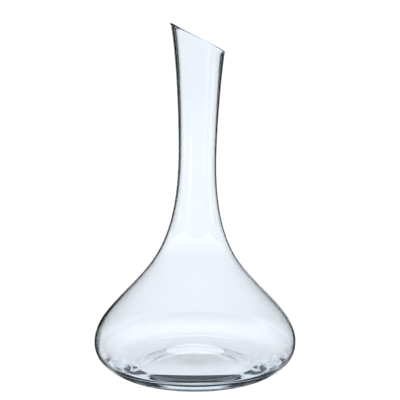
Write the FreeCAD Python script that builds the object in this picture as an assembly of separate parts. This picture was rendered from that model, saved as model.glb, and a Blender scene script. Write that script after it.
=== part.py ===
import FreeCAD, Part
import math
import os

# Wine decanter: one piece of blown clear glass, open at the top, with no stopper.
#
# Frame: +Z is up, the origin is the centre of the foot ring on the plane it rests on, and the
# high side of the slanted mouth, over which wine is poured, is towards -X.
#
# Each wall is turned from one outline in the XZ half plane. An outline is a chain of stations: a
# point, the heading in which the wall passes through it, and how far it pulls the curve that way. Above the shoulder the sections stay level and round, but their centres move
# sideways, which gives the neck its slight lean.

# Outside, in mm and degrees from +X. A pull is how far a station holds its direction, before and
# after it.
FOOT_RADIUS = 55.7
FOOT_HEADING = 9.8
FOOT_PULL = 15.4
BELLY_RADIUS = 95.0
BELLY_HEIGHT = 30.9
BELLY_PULLS = (22.2, 19.2)
SHOULDER_RADIUS = 52.4
SHOULDER_HEIGHT = 91.9
SHOULDER_HEADING = 131.8
SHOULDER_PULLS = (35.9, 20.4)
WAIST_RADIUS = 17.7
WAIST_HEIGHT = 204.5
WAIST_PULLS = (73.2, 33.2)
LIP_RADIUS = 27.9
LIP_HEIGHT = 329.1
LIP_HEADING = 74.6
LIP_PULL = 23.2

# Wall thickness: blown glass is thickest in the base, thinnest at the waist of the neck.
BELLY_WALL = 2.2
SHOULDER_WALL = 1.6
WAIST_WALL = 1.5
LIP_WALL = 2.4

# Base: a narrow flat ring carries the decanter, and the middle is pushed up a little inside it.
# The floor of the bowl is thick, and turns up into the thinner side near the belly.
FOOT_RING_WIDTH = 4.0
PUNT_HEADING = 168.0
PUNT_HEIGHT = 4.0
PUNT_PULLS = (16.0, 20.0)
FLOOR_CENTRE_HEIGHT = 13.5
FLOOR_CENTRE_PULL = 22.0
FLOOR_EDGE_RADIUS = 69.0
FLOOR_EDGE_HEIGHT = 12.0
FLOOR_EDGE_HEADING = 3.0
FLOOR_EDGE_PULLS = (30.0, 6.0)
BELLY_INSIDE_PULLS = (20.0, 17.5)

# Neck and mouth. The lip station lies just above the slanted cut of the mouth.
NECK_LEAN = 1.13
LEAN_START_HEIGHT = 92.0
MOUTH_HIGH_SIDE = (-22.5, 326.2)
MOUTH_LOW_SIDE = (28.0, 299.6)
RIM_ROUNDING = 0.9
RIM_SEARCH_DEPTH = 5.0
WASTE_BLOCK = 200.0

QUARTER_TURNS = 4


class Station:
    """A point of an outline, its heading in degrees, and its pulls before and after it."""

    def __init__(self, radius, height, heading, pulls):
        self.radius = radius
        self.height = height
        self.heading = heading
        self.before, self.after = pulls

    def moved(self, distance):
        """The pole that lies this far along the heading, as (radius, height)."""
        heading = math.radians(self.heading)
        return (self.radius + distance * math.cos(heading),
                self.height + distance * math.sin(heading))

    def inset(self, wall, pulls):
        """The matching station of the inner wall, a wall's thickness towards the axis."""
        heading = math.radians(self.heading)
        radius = self.radius - wall * math.sin(heading)
        height = self.height + wall * math.cos(heading)
        return Station(radius, height, self.heading, pulls)


def outer_stations():
    return [
        Station(FOOT_RADIUS, 0.0, FOOT_HEADING, (0.0, FOOT_PULL)),
        Station(BELLY_RADIUS, BELLY_HEIGHT, 90.0, BELLY_PULLS),
        Station(SHOULDER_RADIUS, SHOULDER_HEIGHT, SHOULDER_HEADING, SHOULDER_PULLS),
        Station(WAIST_RADIUS, WAIST_HEIGHT, 90.0, WAIST_PULLS),
        Station(LIP_RADIUS, LIP_HEIGHT, LIP_HEADING, (LIP_PULL, 0.0)),
    ]


def inner_stations():
    belly, shoulder, waist, lip = outer_stations()[1:]
    return [
        Station(0.0, FLOOR_CENTRE_HEIGHT, 0.0, (0.0, FLOOR_CENTRE_PULL)),
        Station(FLOOR_EDGE_RADIUS, FLOOR_EDGE_HEIGHT, FLOOR_EDGE_HEADING, FLOOR_EDGE_PULLS),
        belly.inset(BELLY_WALL, BELLY_INSIDE_PULLS),
        shoulder.inset(SHOULDER_WALL, SHOULDER_PULLS),
        waist.inset(WAIST_WALL, WAIST_PULLS),
        lip.inset(LIP_WALL, (LIP_PULL, 0.0)),
    ]


def curve_between(start, end):
    """The four poles of the smooth curve from one station to the next."""
    return [start.moved(0.0), start.moved(start.after), end.moved(-end.before), end.moved(0.0)]


def centre_line(poles, bends_here):
    """How far each pole's section is moved sideways by the lean of the neck."""
    slope = math.tan(math.radians(NECK_LEAN))
    offsets = [slope * max(0.0, height - LEAN_START_HEIGHT) for radius, height in poles]
    if bends_here:
        offsets[0] = offsets[1] = 0.0
    return offsets


def turned_face(poles, offsets):
    """A full turn of an outline, as an exact rational surface with round, level sections."""
    corner_weight = math.cos(math.pi / QUARTER_TURNS)
    rows = []
    weights = []
    for step in range(2 * QUARTER_TURNS + 1):
        angle = step * math.pi / QUARTER_TURNS
        weight = corner_weight if step % 2 else 1.0
        rows.append([FreeCAD.Vector(offset + radius / weight * math.cos(angle),
                                    radius / weight * math.sin(angle), height)
                     for (radius, height), offset in zip(poles, offsets)])
        weights.append([weight] * len(poles))
    degree = len(poles) - 1
    around_knots = list(range(QUARTER_TURNS + 1))
    around_mults = [3] + [2] * (QUARTER_TURNS - 1) + [3]
    surface = Part.BSplineSurface()
    surface.buildFromPolesMultsKnots(rows, around_mults, [degree + 1, degree + 1],
                                     around_knots, [0, 1], False, False, 2, degree, weights)
    return surface.toShape()


def wall_faces(stations, shoulder_index):
    """One turned face per span of the outline."""
    faces = []
    for index, (start, end) in enumerate(zip(stations, stations[1:])):
        poles = curve_between(start, end)
        faces.append(turned_face(poles, centre_line(poles, index == shoulder_index)))
    return faces


def foot_ring(inside, outside):
    """The flat ring that the decanter stands on."""
    wires = [Part.Wire(Part.makeCircle(radius)) for radius in (outside, inside)]
    wires[1].reverse()
    return Part.Face(wires)


def base_faces():
    """The foot ring, and the push-up inside it."""
    ring_inside = FOOT_RADIUS - FOOT_RING_WIDTH
    edge_pull, centre_pull = PUNT_PULLS
    punt = curve_between(Station(ring_inside, 0.0, PUNT_HEADING, (0.0, edge_pull)),
                         Station(0.0, PUNT_HEIGHT, 180.0, (centre_pull, 0.0)))
    return [foot_ring(ring_inside, FOOT_RADIUS), turned_face(punt, [0.0] * 4)]


def top_face(outer, inner):
    """The ring that closes the neck above its mouth, between the outer and the inner wall."""
    poles = [outer[-1].moved(0.0), inner[-1].moved(0.0)]
    return turned_face(poles, centre_line(poles, False))


def blown_vessel():
    """The closed glass solid before its mouth is cut."""
    outer = outer_stations()
    inner = inner_stations()
    faces = base_faces() + wall_faces(outer, 2) + wall_faces(inner, 3)
    faces.append(top_face(outer, inner))
    shell = Part.Shell(faces)
    shell.sewShape()
    solid = Part.Solid(shell)
    if solid.Volume < 0:
        solid.reverse()
    return solid


def waste_above_mouth():
    """A block whose underside is the slanted plane of the mouth."""
    (high_x, high_z), (low_x, low_z) = MOUTH_HIGH_SIDE, MOUTH_LOW_SIDE
    slant = math.degrees(math.atan2(high_z - low_z, low_x - high_x))
    corner = FreeCAD.Vector(-WASTE_BLOCK / 2, -WASTE_BLOCK / 2, 0.0)
    block = Part.makeBox(WASTE_BLOCK, WASTE_BLOCK, WASTE_BLOCK, corner)
    middle = FreeCAD.Vector((high_x + low_x) / 2, 0.0, (high_z + low_z) / 2)
    block.Placement = FreeCAD.Placement(middle, FreeCAD.Rotation(FreeCAD.Vector(0, 1, 0), slant))
    return block


def rim_edges(glass):
    """The inner and outer edges of the slanted cut."""
    mouth_floor = MOUTH_LOW_SIDE[1] - RIM_SEARCH_DEPTH
    flats = [face for face in glass.Faces
             if isinstance(face.Surface, Part.Plane) and face.BoundBox.ZMin > mouth_floor]
    return [edge for face in flats for edge in face.Edges]


def glass_body():
    """The whole decanter, its mouth cut on a slant and its rim rounded by the flame."""
    glass = blown_vessel().cut(waste_above_mouth())
    return glass.makeFillet(RIM_ROUNDING, rim_edges(glass))


def main():
    os.makedirs("parts", exist_ok=True)
    glass_body().exportStep("parts/glass_body.step")


main()
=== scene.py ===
import math
from collections import namedtuple

import bmesh
import bpy
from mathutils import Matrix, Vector


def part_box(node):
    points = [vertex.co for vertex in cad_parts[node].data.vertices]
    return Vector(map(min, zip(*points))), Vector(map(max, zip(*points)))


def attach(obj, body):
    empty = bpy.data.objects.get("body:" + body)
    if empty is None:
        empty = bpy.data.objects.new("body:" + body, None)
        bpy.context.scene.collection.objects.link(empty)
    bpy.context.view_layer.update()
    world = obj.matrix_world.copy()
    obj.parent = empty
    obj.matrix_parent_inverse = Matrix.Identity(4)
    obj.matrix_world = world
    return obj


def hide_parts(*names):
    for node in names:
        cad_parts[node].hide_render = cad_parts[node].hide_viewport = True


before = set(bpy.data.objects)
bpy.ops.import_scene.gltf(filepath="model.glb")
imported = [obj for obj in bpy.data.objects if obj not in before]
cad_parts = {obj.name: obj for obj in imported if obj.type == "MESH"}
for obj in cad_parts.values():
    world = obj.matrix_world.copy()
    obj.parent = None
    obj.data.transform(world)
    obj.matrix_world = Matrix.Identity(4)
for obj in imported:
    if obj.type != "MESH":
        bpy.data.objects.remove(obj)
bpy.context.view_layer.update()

# A wine decanter of clear blown glass, one piece, standing on a pale light table.
#
# The glass is turned again here, much finer than the CAD mesh, from the same stations. Radii,
# heights, pulls and walls are in millimetres of the design, and MM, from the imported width, turns
# them into metres. The stage, the lights and the camera are in metres.
#
# The camera sees an even pale table and backdrop. The glass is lit as in bright-field photography:
# it sees a lit field behind it and a dark room beside the field, and the dark that it bends into
# view draws the lines along its edges.

CAD_WIDTH = 190.0
cad_low, cad_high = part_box("glass_body")
MM = round((cad_high.x - cad_low.x) / CAD_WIDTH, 5)

# ---------------------------------------------------------------- outline of the glass

# A point of an outline, the heading in degrees in which the wall passes through it, and how far the
# wall holds that heading before and after it.
Station = namedtuple("Station", "radius height heading before after")

# Outside, from the foot ring up to just above the mouth.
OUTER = [
    Station(55.7, 0.0, 9.8, 0.0, 15.4),
    Station(95.0, 30.9, 90.0, 22.2, 19.2),
    Station(52.4, 91.9, 131.8, 35.9, 20.4),
    Station(17.7, 204.5, 90.0, 73.2, 33.2),
    Station(27.9, 329.1, 74.6, 23.2, 0.0),
]

# The wall is thinnest at the waist of the neck, and the bowl turns in a little tighter inside.
BELLY_WALL = 2.2
SHOULDER_WALL = 1.6
WAIST_WALL = 1.5
LIP_WALL = 2.4
BELLY_INSIDE_PULLS = (20.0, 17.5)

# Base: a flat foot ring, the push-up inside it, and the thick floor of the bowl.
FOOT_RING_WIDTH = 4.0
FOOT_RING_INSIDE = OUTER[0].radius - FOOT_RING_WIDTH
PUNT_CENTRE = Station(0.0, 4.0, 0.0, 0.0, 20.0)
PUNT_EDGE = Station(FOOT_RING_INSIDE, 0.0, -12.0, 16.0, 0.0)
FLOOR_CENTRE = Station(0.0, 13.5, 0.0, 0.0, 22.0)
FLOOR_EDGE = Station(69.0, 12.0, 3.0, 30.0, 6.0)

# Above the shoulder the neck leans towards +X. The mouth is cut by a slanted plane, given by its
# highest and lowest point as (x, height), and the rim is a bead over the cut.
NECK_LEAN = math.radians(1.13)
LEAN_START = 92.0
MOUTH_HIGH_SIDE = (-22.5, 325.7)
MOUTH_LOW_SIDE = (28.0, 299.3)
RIM_BEAD = 0.9

# Steps of the mesh round the axis, along a span, over the rim and across the foot ring.
SEGMENTS = 192
SPAN_STEPS = 36
RIM_STEPS = 10
FOOT_RING_STEPS = 4

# The stretch of a top span that is searched for the mouth, and how often the search halves it.
MOUTH_SEARCH = (0.5, 1.2)
SEARCH_HALVINGS = 30


def inset(station, wall, before, after):
    """The station of the inner wall that lies a wall's thickness towards the axis."""
    heading = math.radians(station.heading)
    return Station(station.radius - wall * math.sin(heading),
                   station.height + wall * math.cos(heading), station.heading, before, after)


def inner_stations():
    """The inside, from the middle of the floor up to just above the mouth."""
    belly, shoulder, waist, lip = OUTER[1:]
    return [
        FLOOR_CENTRE,
        FLOOR_EDGE,
        inset(belly, BELLY_WALL, *BELLY_INSIDE_PULLS),
        inset(shoulder, SHOULDER_WALL, shoulder.before, shoulder.after),
        inset(waist, WAIST_WALL, waist.before, waist.after),
        inset(lip, LIP_WALL, lip.before, 0.0),
    ]


def sideways(height):
    """How far the leaning neck's centre has drifted at this height."""
    return max(0.0, height - LEAN_START) * math.tan(NECK_LEAN)


class Span:
    """The smooth curve between two stations: radius, height and sideways drift against t."""

    def __init__(self, start, end):
        a, b = math.radians(start.heading), math.radians(end.heading)
        self.radii = (start.radius, start.radius + start.after * math.cos(a),
                      end.radius - end.before * math.cos(b), end.radius)
        self.heights = (start.height, start.height + start.after * math.sin(a),
                        end.height - end.before * math.sin(b), end.height)
        self.drifts = [sideways(height) for height in self.heights]
        if start.height < LEAN_START < end.height:
            self.drifts[1] = 0.0

    def at(self, t):
        s = 1.0 - t
        weights = (s * s * s, 3 * s * s * t, 3 * s * t * t, t * t * t)
        return tuple(sum(w * p for w, p in zip(weights, poles))
                     for poles in (self.radii, self.heights, self.drifts))


def spans_between(stations):
    return [Span(start, end) for start, end in zip(stations, stations[1:])]


def around(radius, height, drift, angle):
    """The point of a level, round section at this angle from +X."""
    return Vector((drift + radius * math.cos(angle), radius * math.sin(angle), height))


def above_mouth(point):
    """How far a point lies above the slanted plane of the mouth, measured upright."""
    (high_x, high_z), (low_x, low_z) = MOUTH_HIGH_SIDE, MOUTH_LOW_SIDE
    return point.z - (high_z + (point.x - high_x) * (low_z - high_z) / (low_x - high_x))


def reach_of_mouth(span, angle):
    """The t at which this span meets the plane of the mouth, at this angle."""
    low, high = MOUTH_SEARCH
    for _ in range(SEARCH_HALVINGS):
        middle = (low + high) / 2
        if above_mouth(around(*span.at(middle), angle)) > 0:
            high = middle
        else:
            low = middle
    return low


def rim_rings(outer_end, inner_end):
    """Rounded rim: rings of points that bulge over from the outer wall's end to the inner's."""
    rings = []
    for step in range(1, RIM_STEPS):
        turn = math.pi * step / RIM_STEPS
        ring = []
        for outside, inside in zip(outer_end, inner_end):
            middle, half = (outside + inside) / 2, (outside - inside) / 2
            ring.append(middle + half * math.cos(turn)
                        + Vector((0, 0, RIM_BEAD)) * math.sin(turn))
        rings.append(ring)
    return rings


def glass_rings():
    """All rings of the closed glass skin, from the underside's centre out, up, over and back in."""
    angles = [2 * math.pi * k / SEGMENTS for k in range(SEGMENTS)]

    def rings_of(profile):
        return [[around(*place, angle) for angle in angles] for place in profile]

    def steps(span, first):
        return [span.at(k / SPAN_STEPS) for k in range(first, SPAN_STEPS + 1)]

    def rings_up_to_mouth(span):
        ends = [reach_of_mouth(span, angle) for angle in angles]
        return [[around(*span.at(end * k / SPAN_STEPS), angle) for end, angle in zip(ends, angles)]
                for k in range(1, SPAN_STEPS + 1)]

    flat_ring = [(FOOT_RING_INSIDE + FOOT_RING_WIDTH * k / FOOT_RING_STEPS, 0.0, 0.0)
                 for k in range(1, FOOT_RING_STEPS)]
    *outer, outer_top = spans_between(OUTER)
    *inner, inner_top = spans_between(inner_stations())

    rings = rings_of(steps(Span(PUNT_CENTRE, PUNT_EDGE), 1)) + rings_of(flat_ring)
    for index, span in enumerate(outer):
        rings += rings_of(steps(span, 1 if index else 0))
    rings += rings_up_to_mouth(outer_top)
    down = rings_up_to_mouth(inner_top)[::-1]
    rings += rim_rings(rings[-1], down[0]) + down
    for span in reversed(inner):
        rings += rings_of(reversed(steps(span, 1)))
    return rings


def finished_mesh(name, bm):
    mesh = bpy.data.meshes.new(name)
    bm.to_mesh(mesh)
    bm.free()
    return mesh


def glass_mesh():
    """The closed skin: the rings joined by faces, with a fan at each end of the axis."""
    bm = bmesh.new()
    bottom = bm.verts.new(Vector((0, 0, PUNT_CENTRE.height)) * MM)
    rings = [[bm.verts.new(point * MM) for point in ring] for ring in glass_rings()]
    floor = bm.verts.new(Vector((0, 0, FLOOR_CENTRE.height)) * MM)
    for k in range(SEGMENTS):
        after = (k + 1) % SEGMENTS
        bm.faces.new((bottom, rings[0][after], rings[0][k]))
        bm.faces.new((floor, rings[-1][k], rings[-1][after]))
        for lower, upper in zip(rings, rings[1:]):
            bm.faces.new((lower[k], lower[after], upper[after], upper[k]))
    bmesh.ops.recalc_face_normals(bm, faces=bm.faces)
    mesh = finished_mesh("decanter_glass", bm)
    mesh.polygons.foreach_set("use_smooth", [True] * len(mesh.polygons))
    return mesh


# ---------------------------------------------------------------- materials

GLASS_COLOUR = (0.99, 0.996, 1.0, 1.0)
GLASS_INDEX = 1.5
DEPTH_COLOUR = (0.80, 0.92, 1.0, 1.0)
DEPTH_DENSITY = 4.0

# Blown glass is never quite even: its surface has slow waves, and wiping leaves faint smears.
WAVES_PER_METRE = 24.0
WAVE_DETAIL = 1.0
WAVE_HEIGHT = 0.00008
SMEARS_PER_METRE = 35.0
SMEAR_DETAIL = 6.0
SMEAR_RANGE = (0.45, 0.80)
SMEAR_ROUGHNESS = 0.012


def noise(tree, place, scale, detail):
    """A noise pattern that is fixed to the object."""
    node = tree.nodes.new("ShaderNodeTexNoise")
    node.inputs["Scale"].default_value = scale
    node.inputs["Detail"].default_value = detail
    tree.links.new(place.outputs["Object"], node.inputs["Vector"])
    return node


def clear_glass():
    """Clear soda glass: faint blown waviness, a trace of haze, a slight cool tint with depth."""
    material = bpy.data.materials.new("clear_glass")
    material.use_nodes = True
    tree = material.node_tree
    shader = tree.nodes["Principled BSDF"]
    shader.inputs["Base Color"].default_value = GLASS_COLOUR
    shader.inputs["Transmission Weight"].default_value = 1.0
    shader.inputs["IOR"].default_value = GLASS_INDEX
    absorption = tree.nodes.new("ShaderNodeVolumeAbsorption")
    absorption.inputs["Color"].default_value = DEPTH_COLOUR
    absorption.inputs["Density"].default_value = DEPTH_DENSITY
    tree.links.new(absorption.outputs["Volume"], tree.nodes["Material Output"].inputs["Volume"])

    place = tree.nodes.new("ShaderNodeTexCoord")
    waves = noise(tree, place, WAVES_PER_METRE, WAVE_DETAIL)
    bump = tree.nodes.new("ShaderNodeBump")
    bump.inputs["Distance"].default_value = WAVE_HEIGHT
    tree.links.new(waves.outputs["Fac"], bump.inputs["Height"])
    tree.links.new(bump.outputs["Normal"], shader.inputs["Normal"])

    smears = noise(tree, place, SMEARS_PER_METRE, SMEAR_DETAIL)
    haze = tree.nodes.new("ShaderNodeMapRange")
    clean, smeared = SMEAR_RANGE
    haze.inputs["From Min"].default_value = clean
    haze.inputs["From Max"].default_value = smeared
    haze.inputs["To Max"].default_value = SMEAR_ROUGHNESS
    tree.links.new(smears.outputs["Fac"], haze.inputs["Value"])
    tree.links.new(haze.outputs["Result"], shader.inputs["Roughness"])
    return material


def glowing(name, colour, strength):
    """A surface that only gives light."""
    material = bpy.data.materials.new(name)
    material.use_nodes = True
    tree = material.node_tree
    tree.nodes.clear()
    output = tree.nodes.new("ShaderNodeOutputMaterial")
    emission = tree.nodes.new("ShaderNodeEmission")
    emission.inputs["Color"].default_value = (*colour, 1.0)
    emission.inputs["Strength"].default_value = strength
    tree.links.new(emission.outputs["Emission"], output.inputs["Surface"])
    return material


# ---------------------------------------------------------------- stage

TABLE_RADIUS = 6.0
BACKDROP_HEIGHT = 3.0
TABLE_DROP = 0.0005
STAGE_SEGMENTS = 96
PAPER_COLOUR = (1.0, 1.0, 1.0)
PAPER_STRENGTH = 1.12


def stage_object(name, mesh, material):
    mesh.materials.append(material)
    piece = bpy.data.objects.new(name, mesh)
    bpy.context.scene.collection.objects.link(piece)
    return piece


def disc(name, radius, height):
    bm = bmesh.new()
    bmesh.ops.create_circle(bm, cap_ends=True, segments=STAGE_SEGMENTS, radius=radius)
    bmesh.ops.translate(bm, verts=bm.verts, vec=(0, 0, height))
    return finished_mesh(name, bm)


def round_wall(name, radius, low, high):
    bm = bmesh.new()
    bmesh.ops.create_cone(bm, cap_ends=False, segments=STAGE_SEGMENTS, radius1=radius,
                          radius2=radius, depth=high - low)
    bmesh.ops.translate(bm, verts=bm.verts, vec=(0, 0, (low + high) / 2))
    return finished_mesh(name, bm)


def build_stage():
    """The pale table and backdrop that the camera sees, and the glass doesn't."""
    paper = glowing("pale_light_table", PAPER_COLOUR, PAPER_STRENGTH)
    table = disc("floor", TABLE_RADIUS, -TABLE_DROP)
    wall = round_wall("backdrop", TABLE_RADIUS, -TABLE_DROP, BACKDROP_HEIGHT)
    for piece in (stage_object("floor", table, paper), stage_object("backdrop", wall, paper)):
        piece.visible_transmission = False
        piece.visible_glossy = False
        piece.visible_diffuse = False


# ---------------------------------------------------------------- lights

# Bright-field light for glass: a glowing field stands behind the decanter in each direction from
# which it is looked at, and everything beside the fields is dark, so that the light bent furthest,
# at the edges of the glass, comes from the dark. Angles are in degrees: the compass angle from +X
# of the field's middle, its half width, and its lowest and highest elevation.
FIELD_DISTANCE = 5.0
FIELDS = {
    "field_behind": (90, 13.5, -2, 12),
    "field_behind_left": (140, 9.0, -55, -12),
    "field_left": (180, 9.0, -35, 9),
    "field_front_right": (315, 9.0, -45, -3),
}
FIELD_STEPS = 8
FIELD_TINT = (0.905, 0.945, 1.0)
FIELD_STRENGTH = 1.12
SIDE_STRENGTH = 1.05

# A lit strip of the table: how far behind the axis its near and its far edge are, half the near
# edge's length, and by how many degrees each side spreads. Its straight near edge draws the dark
# band at the front of the base.
LIT_TABLE = (-0.037, 5.0, 0.090, 13.5)
TABLE_STRENGTH = 1.2

# Share of the table's strength against the distance behind the decanter's axis, and the wider
# range of distances that the ramp spans.
TABLE_LEVELS = [(-0.04, 1.0), (0.12, 1.0), (0.22, 0.84), (0.43, 0.84), (0.68, 0.99), (1.50, 1.0),
                (5.0, 0.935)]
TABLE_RANGE = (-0.1, 5.5)

# A field fades out from this many degrees inside its side edges to as many outside them. The fade
# of the lit table starts with this length at its near edge, and widens by the same angle.
EDGE_FADE = 3.0
NEAR_FADE = 0.006

# Brightness of the room against the upright part of the direction, from straight down to up.
ROOM_LEVELS = [(-0.99, 0.16), (-0.60, 0.12), (-0.35, 0.012), (0.30, 0.012), (0.65, 0.12),
               (0.99, 0.30)]
ROOM_TINT = (0.80, 0.88, 1.0)


def field_patch(name, compass, half_width, lowest, highest):
    """A patch of a large sphere round the decanter's middle."""
    bm = bmesh.new()
    glow = bm.verts.layers.float.new("glow")
    centre = (cad_low + cad_high) / 2
    inside = half_width - EDGE_FADE
    turns = [inside * (2 * i / FIELD_STEPS - 1) for i in range(FIELD_STEPS + 1)]
    columns = []
    for turn in [-half_width - EDGE_FADE] + turns + [half_width + EDGE_FADE]:
        angle = math.radians(compass + turn)
        column = []
        for j in range(FIELD_STEPS + 1):
            rise = math.radians(lowest + (highest - lowest) * j / FIELD_STEPS)
            direction = Vector((math.cos(angle) * math.cos(rise),
                                math.sin(angle) * math.cos(rise), math.sin(rise)))
            column.append(bm.verts.new(centre + direction * FIELD_DISTANCE))
            column[-1][glow] = 1.0 if abs(turn) < half_width else 0.0
        columns.append(column)
    for left, right in zip(columns, columns[1:]):
        for j in range(FIELD_STEPS):
            bm.faces.new((left[j], right[j], right[j + 1], left[j + 1]))
    return finished_mesh(name, bm)


def table_patch(name, near, far, near_half_width, spread):
    """A strip of the table behind the decanter, widening evenly with distance."""
    slope = math.tan(math.radians(spread))
    fade = math.tan(math.radians(EDGE_FADE))
    bm = bmesh.new()
    glow = bm.verts.layers.float.new("glow")
    levels = (0.0, 1.0, 1.0, 0.0)
    rows = []
    for distance in (near, far):
        half_width = near_half_width + (distance - near) * slope
        margin = NEAR_FADE + (distance - near) * fade
        rows.append([bm.verts.new((x, distance, -TABLE_DROP)) for x in
                     (-half_width - margin, margin - half_width,
                      half_width - margin, half_width + margin)])
        for vertex, level in zip(rows[-1], levels):
            vertex[glow] = level
    for k in range(len(levels) - 1):
        bm.faces.new((rows[0][k], rows[0][k + 1], rows[1][k + 1], rows[1][k]))
    return finished_mesh(name, bm)


def fading_light(name, strength):
    """Light that thins out to nothing at a field's sides, by the level stored at its points."""
    material = glowing(name, FIELD_TINT, strength)
    tree = material.node_tree
    level = tree.nodes.new("ShaderNodeAttribute")
    level.attribute_name = "glow"
    clear = tree.nodes.new("ShaderNodeBsdfTransparent")
    mix = tree.nodes.new("ShaderNodeMixShader")
    tree.links.new(level.outputs["Fac"], mix.inputs["Fac"])
    tree.links.new(clear.outputs["BSDF"], mix.inputs[1])
    tree.links.new(tree.nodes["Emission"].outputs["Emission"], mix.inputs[2])
    tree.links.new(mix.outputs["Shader"], tree.nodes["Material Output"].inputs["Surface"])
    return material


def graded(tree, stops, tint):
    """A colour ramp of one tint that eases between levels. No stop may lie at either end of it."""
    ramp = tree.nodes.new("ShaderNodeValToRGB")
    ramp.color_ramp.interpolation = "EASE"
    for position, level in stops:
        stop = ramp.color_ramp.elements.new(position)
        stop.color = (*(level * channel for channel in tint), 1.0)
    ramp.color_ramp.elements.remove(ramp.color_ramp.elements[0])
    ramp.color_ramp.elements.remove(ramp.color_ramp.elements[-1])
    return ramp


def grade_table(tree):
    """Uneven light on the table: brightest close by and again from half a metre behind."""
    place = tree.nodes.new("ShaderNodeTexCoord")
    split = tree.nodes.new("ShaderNodeSeparateXYZ")
    share = tree.nodes.new("ShaderNodeMapRange")
    nearest, farthest = TABLE_RANGE
    share.inputs["From Min"].default_value = nearest
    share.inputs["From Max"].default_value = farthest
    stops = [((distance - nearest) / (farthest - nearest), level)
             for distance, level in TABLE_LEVELS]
    ramp = graded(tree, stops, FIELD_TINT)
    tree.links.new(place.outputs["Object"], split.inputs["Vector"])
    tree.links.new(split.outputs["Y"], share.inputs["Value"])
    tree.links.new(share.outputs["Result"], ramp.inputs["Fac"])
    tree.links.new(ramp.outputs["Color"], tree.nodes["Emission"].inputs["Color"])


def build_room():
    """The room round the fields: dark at eye level, softly lit from above and from the table."""
    world = bpy.data.worlds.new("studio")
    bpy.context.scene.world = world
    world.use_nodes = True
    tree = world.node_tree
    direction = tree.nodes.new("ShaderNodeTexCoord")
    split = tree.nodes.new("ShaderNodeSeparateXYZ")
    height = tree.nodes.new("ShaderNodeMapRange")
    height.inputs["From Min"].default_value = -1.0
    ramp = graded(tree, [((upright + 1) / 2, level) for upright, level in ROOM_LEVELS], ROOM_TINT)
    tree.links.new(direction.outputs["Generated"], split.inputs["Vector"])
    tree.links.new(split.outputs["Z"], height.inputs["Value"])
    tree.links.new(height.outputs["Result"], ramp.inputs["Fac"])
    tree.links.new(ramp.outputs["Color"], tree.nodes["Background"].inputs["Color"])


def build_lights():
    """The fields, the lit table and the room. The fields at the sides draw no reflections."""
    main_light = fading_light("main_light", FIELD_STRENGTH)
    table_light = fading_light("table_light", TABLE_STRENGTH)
    grade_table(table_light.node_tree)
    side_light = fading_light("side_light", SIDE_STRENGTH)
    for name, place in FIELDS.items():
        light = main_light if name == "field_behind" else side_light
        field = stage_object(name, field_patch(name, *place), light)
        field.visible_camera = False
        field.visible_glossy = name == "field_behind"
    lit_table = stage_object("field_table", table_patch("field_table", *LIT_TABLE), table_light)
    lit_table.visible_camera = False
    build_room()


# ---------------------------------------------------------------- camera

# A long lens in front of the decanter (-Y), about level with its mouth, looking a little down.
CAMERA_DISTANCE = 1.0
CAMERA_HEIGHT = 0.330
CAMERA_SIDE = 0.0045
CAMERA_PITCH = math.radians(9.42)
LENS_MM = 98.6
SENSOR_WIDTH_MM = 36.0


def build_camera():
    data = bpy.data.cameras.new("camera")
    data.lens = LENS_MM
    data.sensor_width = SENSOR_WIDTH_MM
    camera = bpy.data.objects.new("camera", data)
    camera.location = (CAMERA_SIDE, -CAMERA_DISTANCE, CAMERA_HEIGHT)
    camera.rotation_euler = (math.pi / 2 - CAMERA_PITCH, 0.0, 0.0)
    bpy.context.scene.collection.objects.link(camera)
    bpy.context.scene.camera = camera


# ---------------------------------------------------------------- the decanter

# Light meets many surfaces before it leaves the thick glass.
GLASS_BOUNCES = 24
MIRROR_BOUNCES = 12


def build_glass():
    glass = bpy.data.objects.new("decanter", glass_mesh())
    glass.data.materials.append(clear_glass())
    bpy.context.scene.collection.objects.link(glass)
    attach(glass, "root")
    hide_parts("glass_body")


build_camera()
build_stage()
build_lights()
build_glass()

scene = bpy.context.scene
scene.view_settings.view_transform = "Standard"
scene.cycles.use_denoising = True
scene.cycles.max_bounces = GLASS_BOUNCES
scene.cycles.transmission_bounces = GLASS_BOUNCES
scene.cycles.glossy_bounces = MIRROR_BOUNCES
